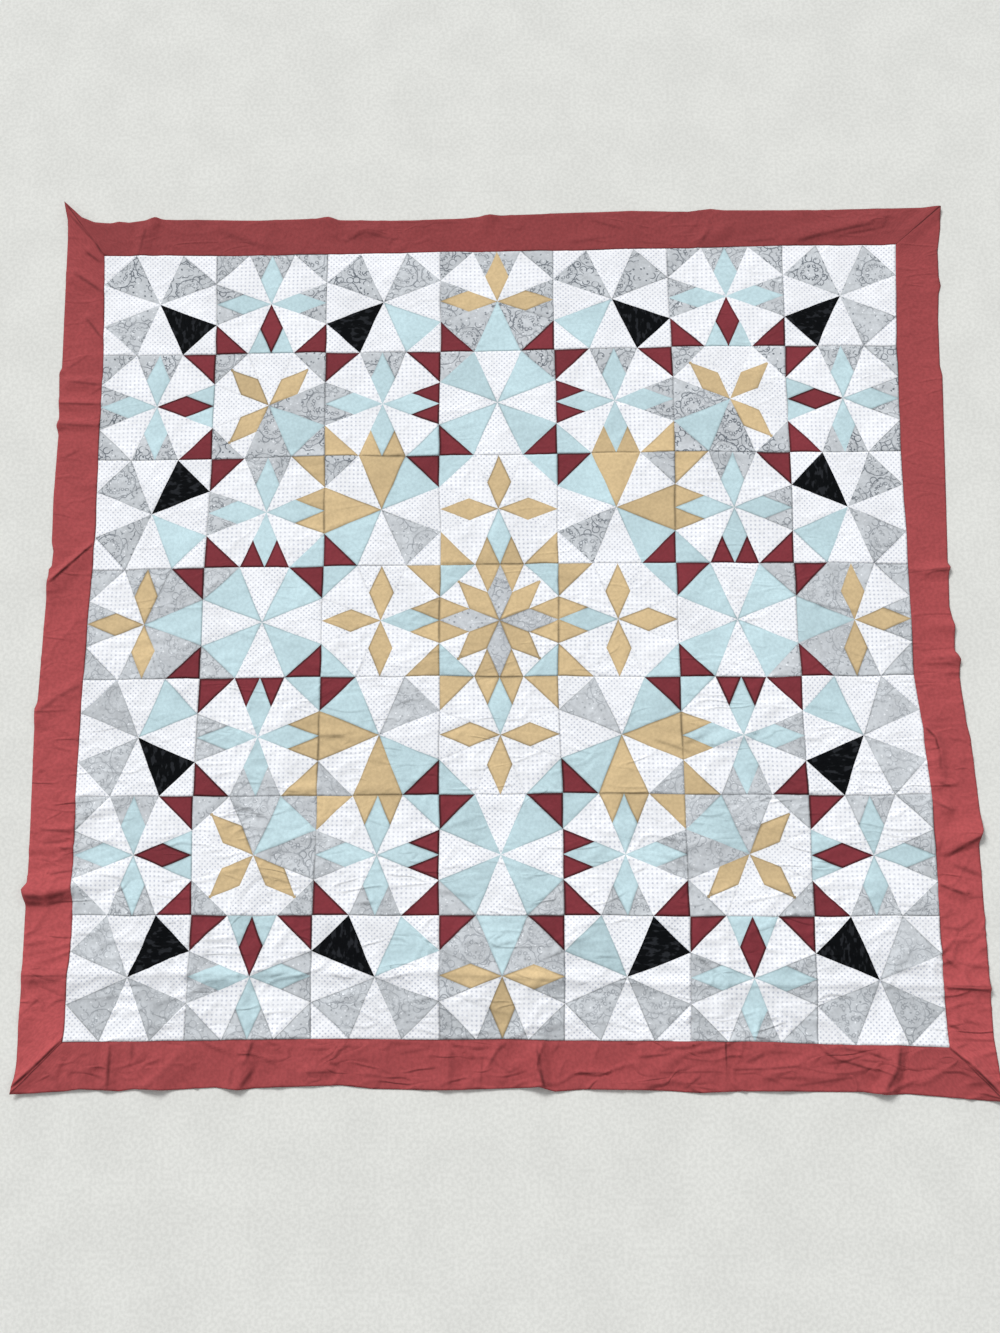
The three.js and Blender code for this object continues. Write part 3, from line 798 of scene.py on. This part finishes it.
def cut_block(pieced, sizes):
    """A flat block as a mesh with its seams cut in. pieced says which wedges hold a diamond."""
    half = sizes.block / 2
    bm = bmesh.new()
    bmesh.ops.create_grid(bm, x_segments=sizes.cells, y_segments=sizes.cells, size=half)
    for direction in range(4):
        cut_seam(bm, everything(bm), Vector(), heading(direction, HALF_WEDGE), sizes.groove)
    for direction in (1, 3, 5, 7):
        out = heading(direction)
        outer = part_of(bm, lambda middle: middle.dot(out) > half - sizes.groove * 2)
        cut_seam(bm, outer, out * half, Vector((-out.y, out.x, 0)), sizes.groove)
    for direction in (0, 2, 4, 6):
        out = heading(direction)
        rim = part_of(bm, lambda middle: middle.dot(out) > half - sizes.groove * 4)
        cut(bm, rim, out * (half - sizes.groove / 2), out)
    for direction in (k for k in range(8) if pieced[k]):
        out = heading(direction)
        right = heading(direction + 2)
        for side in (-1, 1):
            across = right * side
            inner = part_of(bm, lambda middle: in_half_wedge(middle.dot(out), middle.dot(across), half))
            slant = (across * math.tan(HALF_WEDGE) - out).normalized()
            cut_seam(bm, inner, out * half, slant, sizes.groove)
    return made_mesh(bm, "block")


def in_block(x, y, row, sizes):
    """Column of each point in a row of blocks, its place in its block, its direction from the
    block's middle, how far out along that direction and across it it lies, and if it is in a corner."""
    half = BLOCKS * sizes.block / 2
    column = np.clip(((x + half) // sizes.block).astype(int), 0, BLOCKS - 1)
    u = x + half - (column + 0.5) * sizes.block
    v = y - half + (row - 0.5) * sizes.block
    corner = np.abs(u) + np.abs(v) > sizes.block / math.sqrt(2)
    direction = np.rint(np.arctan2(u, v) / STEP).astype(int) % 8
    odd = np.where(u > 0, np.where(v > 0, 1, 3), np.where(v > 0, 7, 5))
    direction = np.where(corner, odd, direction)
    angle = direction * STEP
    out = u * np.sin(angle) + v * np.cos(angle)
    across = u * np.cos(angle) - v * np.sin(angle)
    return column, u, v, direction, out, across, corner


def seam_closeness(x, y, row, pieced, sizes):
    """1 on a seam, falling to 0 at the edge of its groove."""
    column, u, v, direction, out, across, corner = in_block(x, y, row, sizes)
    half = sizes.block / 2
    edge = np.minimum(half - np.abs(u), half - np.abs(v))
    cut = np.abs((np.abs(u) + np.abs(v)) / math.sqrt(2) - half)
    side = np.abs(out * math.sin(HALF_WEDGE) - np.abs(across) * math.cos(HALF_WEDGE))
    diamond = np.abs(np.abs(across) - (half - out) * math.tan(HALF_WEDGE)) * math.cos(HALF_WEDGE)
    distance = np.minimum(edge, cut)
    distance = np.where(corner, distance, np.minimum(distance, side))
    has_diamond = pieced[column, direction] & ~corner
    distance = np.where(has_diamond, np.minimum(distance, diamond), distance)
    return np.clip(1 - distance / (sizes.groove / 2), 0, 1)


def read(items, name, width, kind=float):
    values = np.zeros(len(items) * width, kind)
    items.foreach_get(name, values)
    return values.reshape(-1, width) if width > 1 else values


def note(mesh, name, domain, values):
    """Keeps a number for each point or face of a mesh."""
    mesh.attributes.new(name, "FLOAT", domain).data.foreach_set("value", np.asarray(values, np.float32))


def map_cloth(mesh, places):
    """Gives each face corner its place on the flat cloth, in metres, for prints and weave."""
    mesh.uv_layers.new(name="cloth").uv.foreach_set("vector", np.asarray(places, np.float32).ravel())


def finish_sheet(mesh, name, sizes, cottons, node):
    """Makes a laid mesh a piece: smooth, a cloth thick, in its cottons, in place of its solid."""
    piece = bpy.data.objects.new(name, mesh)
    bpy.context.scene.collection.objects.link(piece)
    for cloth in cottons:
        mesh.materials.append(cotton(cloth))
    mesh.polygons.foreach_set("use_smooth", [True] * len(mesh.polygons))
    thick = piece.modifiers.new("cloth", "SOLIDIFY")
    thick.thickness = sizes.cloth
    thick.offset = -1
    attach(piece, "root")
    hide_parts(node)


def sewn_row(row, pieced, blocks, sizes):
    """The flat blocks of a row as one mesh. A block is cut once and kept for its like."""
    half = BLOCKS * sizes.block / 2
    bm = bmesh.new()
    for column in range(BLOCKS):
        key = tuple(pieced[column])
        if key not in blocks:
            blocks[key] = cut_block(key, sizes)
        before = len(bm.verts)
        bm.from_mesh(blocks[key])
        bm.verts.ensure_lookup_table()
        place = Vector(((column + 0.5) * sizes.block - half, half - (row - 0.5) * sizes.block, 0))
        bmesh.ops.translate(bm, verts=bm.verts[before:], vec=place)
    return made_mesh(bm, f"block_row_{row}")


def print_row(mesh, row, charts, pieced, sizes):
    """Gives each patch of a row its cotton, its place on that cotton, its tone and its ink."""
    middle = read(mesh.polygons, "center", 3)
    column, _, _, direction, out, across, corner = in_block(middle[:, 0], middle[:, 1], row, sizes)
    beside = np.abs(across) > (sizes.block / 2 - out) * math.tan(HALF_WEDGE)
    has_sides = pieced[column, direction] & beside & ~corner
    part = np.where(corner, 0, np.where(has_sides, np.where(across > 0, 2, 3), 1))
    cottons = np.zeros((BLOCKS, 8, 4), int)
    for at, (wedges, corners) in enumerate(charts):
        for k, (diamond, sides) in enumerate(wedges):
            cottons[at, k, 0] = COTTONS.index(corners[k]) if k in corners else 0
            cottons[at, k, 1] = COTTONS.index(diamond)
            cottons[at, k, 2:] = COTTONS.index(sides or diamond)

    # Patches are cut at 45 degrees to their axis, each from another place on the cloth
    patch = (column * 8 + direction) * 4 + part
    chance = np.random.default_rng(100 + row).uniform(0, 1, (BLOCKS * 8 * 4, 3))
    which = cottons[column, direction, part]
    mesh.polygons.foreach_set("material_index", which.astype(np.int32))
    fresh, uneven = 1, np.array([UNEVEN_DYE[name] for name in COTTONS])[which]
    if row == BLOCKS:
        fresh, uneven = LOWEST_TONE, uneven + LOWEST_UNEVEN
    note(mesh, "tone", "FACE", fresh + uneven * (2 * chance[patch, 2] - 1))
    white = which == COTTONS.index("white")
    upright = (direction % 2 == 1) & ~corner & white
    loops = LOOP_INK[row - 1] * (0.75 + 0.5 * chance[patch, 0])
    note(mesh, "ink", "FACE", np.where(white, np.where(upright, UPRIGHT_INK, 1), loops))
    starts, counts = (read(mesh.polygons, key, 1, np.int32) for key in ("loop_start", "loop_total"))
    face = np.repeat(np.arange(len(starts)), counts)
    corner_at = read(mesh.vertices, "co", 3)[read(mesh.loops, "vertex_index", 1, np.int32)]
    angle = np.where(corner, STEP, (direction + 1) * STEP)[face]
    x, y = corner_at[:, 0], corner_at[:, 1]
    turned = np.stack([x * np.cos(angle) - y * np.sin(angle), x * np.sin(angle) + y * np.cos(angle)], 1)
    coarser = np.where(upright, UPRIGHT_COARSER, 1)[face, None]
    map_cloth(mesh, turned / coarser + chance[patch[face], :2])


def block_row(row, blocks, sizes):
    """One row of blocks, sewn side by side and laid in its place."""
    charts = [chart(row, column + 1) for column in range(BLOCKS)]
    pieced = np.array([[sides is not None for _, sides in wedges] for wedges, _ in charts])
    mesh = sewn_row(row, pieced, blocks, sizes)
    print_row(mesh, row, charts, pieced, sizes)
    flat = read(mesh.vertices, "co", 3)
    x, y = flat[:, 0], flat[:, 1]
    seam = seam_closeness(x, y, row, pieced, sizes)
    settle(mesh, *lay(x, y, BLOCKS * sizes.block / 2), seam, sizes)
    finish_sheet(mesh, mesh.name, sizes, COTTONS, "patchwork_panel")


class QUILT_OT_patchwork(bpy.types.Operator):
    """Piece the panel's seven rows of blocks and lay them out"""

    bl_idname = "quilt.patchwork"
    bl_label = "Patchwork panel"

    def execute(self, context):
        blocks = {}
        for row in range(1, BLOCKS + 1):
            block_row(row, blocks, context.scene.quilt_sizes)
        for mesh in blocks.values():
            bpy.data.meshes.remove(mesh)
        return {"FINISHED"}


def strip_grid(side, sizes):
    """A strip as a square grid of one metre, cut along the sides of its grooves."""
    first, last = OUTLINE[side]["along"][[0, -1]]
    bm = bmesh.new()
    cells_along = round((last - first) / sizes.strip_cell)
    cells_across = round(sizes.border / sizes.strip_cell)
    bmesh.ops.create_grid(bm, x_segments=cells_along, y_segments=cells_across, size=0.5)
    groove = sizes.groove / 2
    for inset in (groove / sizes.border, 1 - groove / sizes.border):
        cut(bm, everything(bm), (0, inset - 0.5, 0), (0, 1, 0))
    for join in (*STRIP_JOINS.get(side, ()), first + groove, last - groove):
        for reach in (-groove, 0, groove):
            at = (join + reach - first) / (last - first) - 0.5
            cut(bm, everything(bm), (at, 0, 0), (1, 0, 0))
    return made_mesh(bm, f"border_cloth_{side}")


def border_strip(side, sizes):
    """One border strip, sewn to a side of the panel and mitred at both ends."""
    along, out = SIDES[side]
    outline = OUTLINE[side]
    first, last = outline["along"][[0, -1]]
    half = BLOCKS * sizes.block / 2
    groove = sizes.groove / 2
    mesh = strip_grid(side, sizes)
    grid = read(mesh.vertices, "co", 3)
    line = first + (grid[:, 0] + 0.5) * (last - first)
    share = grid[:, 1] + 0.5
    # Lines across the strip are square to it, and fan out over its last width towards the mitre
    knee = half - sizes.border
    past = np.maximum(0, np.abs(line) - knee) / (np.where(line < 0, -first, last) - knee)
    inner = np.sign(line) * np.where(past > 0, knee + past * (half - knee), np.abs(line))
    seam_x, seam_y = lay(inner * along.x + half * out.x, inner * along.y + half * out.y, half)
    reach = half + np.interp(line, outline["along"], outline["out"])
    edge_x, edge_y = line * along.x + reach * out.x, line * along.y + reach * out.y
    x = seam_x + share * (edge_x - seam_x)
    y = seam_y + share * (edge_y - seam_y)

    to_mitre = np.minimum(line - first, last - line) / math.sqrt(2)
    to_panel = share * sizes.border
    to_join = np.min([np.abs(line - join) for join in (*STRIP_JOINS.get(side, ()), 2 * last)], axis=0)
    nearest = np.minimum(np.minimum(to_mitre, to_panel), to_join)
    seam = np.clip(1 - nearest / groove, 0, 1)
    turned = np.clip(1 - (1 - share) * sizes.border / groove, 0, 1)  # the outer edge rolls down, and shade is painted along it
    face_y = along.y * (first + (read(mesh.polygons, "center", 3)[:, 0] + 0.5) * (last - first))
    # Painted light on each strip, lighter towards the bottom on the sides
    note(mesh, "tone", "FACE", PAINTED_STRIP_LIGHT[side] * (1 - PAINTED_LIGHT_DOWNWARDS * face_y))
    loops = read(mesh.loops, "vertex_index", 1, np.int32)
    map_cloth(mesh, np.stack([line, share * sizes.border], 1)[loops])
    # Seams and the rolled outer edge dip, and shade is painted into them
    settle(mesh, x, y, np.maximum(seam, 0.6 * turned), sizes)
    finish_sheet(mesh, mesh.name, sizes, ("rose",), f"border_{side}")


class QUILT_OT_border(bpy.types.Operator):
    """Sew the four mitred border strips round the panel"""

    bl_idname = "quilt.border"
    bl_label = "Border"

    def execute(self, context):
        for side in SIDES:
            border_strip(side, context.scene.quilt_sizes)
        return {"FINISHED"}


# Floor, lights and camera

CAMERA_PLACE = Vector((0.0704, -1.2358, 3.7642))
CAMERA_PITCH, CAMERA_YAW, CAMERA_ROLL = 0.2929, 0.0618, 0.0672  # radians
PICTURE_HEIGHT = 1333  # the picture is 1000 wide
FOCAL_PIXELS = 1850
SENSOR = 36.0  # millimetres along the picture's long side
FLOOR_REACH = 8.0  # metres from the middle of the floor to its sides
KEY_PLACE = (-2.1, 3.4, 3.6)
KEY_SPREAD = math.radians(24)
SKY = (0.96, 0.98, 1.0, 1)  # a little cooler than white


def painted_floor(colour_of_floor):
    """Pale matt floor paint: even, with a faint mottle, fine speckle and next to no gloss."""
    material = empty_material("matt floor paint")
    tree = material.node_tree
    place = add(tree, kind="TexCoord", out="Object")
    mottle = clouds(tree, place, 120 * MM, 0.3, 0.7, 0.975, 1.02, detail=8.0)
    speckle = clouds(tree, place, 7 * MM, 0.3, 0.7, 0.95, 1.05)
    level = add(tree, mottle, speckle, **TIMES)
    base = add(tree, 1.0, colour_of_floor, level, **TINT)
    grain = add(tree, place, 1 / (4 * MM), 3.0, **NOISE)
    bump = add(tree, kind="Bump", sockets={"Height": grain, "Strength": 0.2, "Distance": 0.3 * MM})
    sockets = {"Base Color": base, "Roughness": 0.75, "Normal": bump, "Specular IOR Level": 0.3}
    surface = add(tree, kind="BsdfPrincipled", sockets=sockets)
    add(tree, surface, kind="OutputMaterial")
    return material


def soft_light(name, strength, spread, place):
    """A broad light, as even as one from a large window, that shines towards the quilt's middle."""
    data = bpy.data.lights.new(name, "SUN")
    data.energy = strength
    data.angle = spread
    light = bpy.data.objects.new(name, data)
    light.location = place
    light.rotation_euler = (-Vector(place)).to_track_quat("-Z", "Y").to_euler()
    bpy.context.scene.collection.objects.link(light)


class QUILT_OT_stage(bpy.types.Operator):
    """Lay the floor and set the lights and the camera"""

    bl_idname = "quilt.stage"
    bl_label = "Stage"

    def execute(self, context):
        scene = context.scene
        stage = scene.quilt_stage
        bm = bmesh.new()
        bmesh.ops.create_grid(bm, x_segments=8, y_segments=8, size=FLOOR_REACH)
        mesh = made_mesh(bm, "floor")
        mesh.materials.append(painted_floor(stage.floor))
        floor = bpy.data.objects.new("floor", mesh)
        scene.collection.objects.link(floor)

        world = bpy.data.worlds.new("soft room light")
        world.use_nodes = True
        background = world.node_tree.nodes["Background"]
        background.inputs["Color"].default_value = SKY
        background.inputs["Strength"].default_value = stage.ambient
        scene.world = world
        scene.view_settings.view_transform = "Standard"
        soft_light("key light", stage.key, KEY_SPREAD, KEY_PLACE)

        data = bpy.data.cameras.new("camera")
        data.sensor_width = SENSOR
        data.lens = FOCAL_PIXELS / PICTURE_HEIGHT * SENSOR
        camera = bpy.data.objects.new("camera", data)
        turn = Matrix.Rotation(CAMERA_YAW, 4, "Z") @ Matrix.Rotation(CAMERA_PITCH, 4, "X")
        turn = turn @ Matrix.Rotation(-CAMERA_ROLL, 4, "Z")
        camera.matrix_world = Matrix.Translation(CAMERA_PLACE) @ turn
        scene.collection.objects.link(camera)
        scene.camera = camera
        return {"FINISHED"}


class QUILT_PT_panel(bpy.types.Panel):
    """Lists the quilt's sizes, colours and pieces"""

    bl_idname = "QUILT_PT_panel"
    bl_label = "Patchwork Star Quilt"
    bl_space_type = "VIEW_3D"
    bl_region_type = "UI"
    bl_category = "Quilt"

    def draw(self, context):
        for group in (context.scene.quilt_sizes, context.scene.quilt_colours, context.scene.quilt_stage):
            box = self.layout.box()
            for name in group.bl_rna.properties.keys():
                if name not in {"rna_type", "name"}:
                    box.prop(group, name)
        for operator in OPERATORS:
            self.layout.operator(operator.bl_idname)


GROUPS = {"quilt_sizes": QuiltSizes, "quilt_colours": QuiltColours, "quilt_stage": QuiltStage}
OPERATORS = (QUILT_OT_stage, QUILT_OT_patchwork, QUILT_OT_border)


def register():
    for cls in (*GROUPS.values(), *OPERATORS, QUILT_PT_panel):
        bpy.utils.register_class(cls)
    for name, group in GROUPS.items():
        setattr(bpy.types.Scene, name, PointerProperty(type=group))


def unregister():
    for name in GROUPS:
        delattr(bpy.types.Scene, name)
    for cls in (QUILT_PT_panel, *reversed(OPERATORS), *GROUPS.values()):
        bpy.utils.unregister_class(cls)


def main():
    register()
    bpy.ops.quilt.stage()
    bpy.ops.quilt.patchwork()
    bpy.ops.quilt.border()


if __name__ == "__main__":
    main()
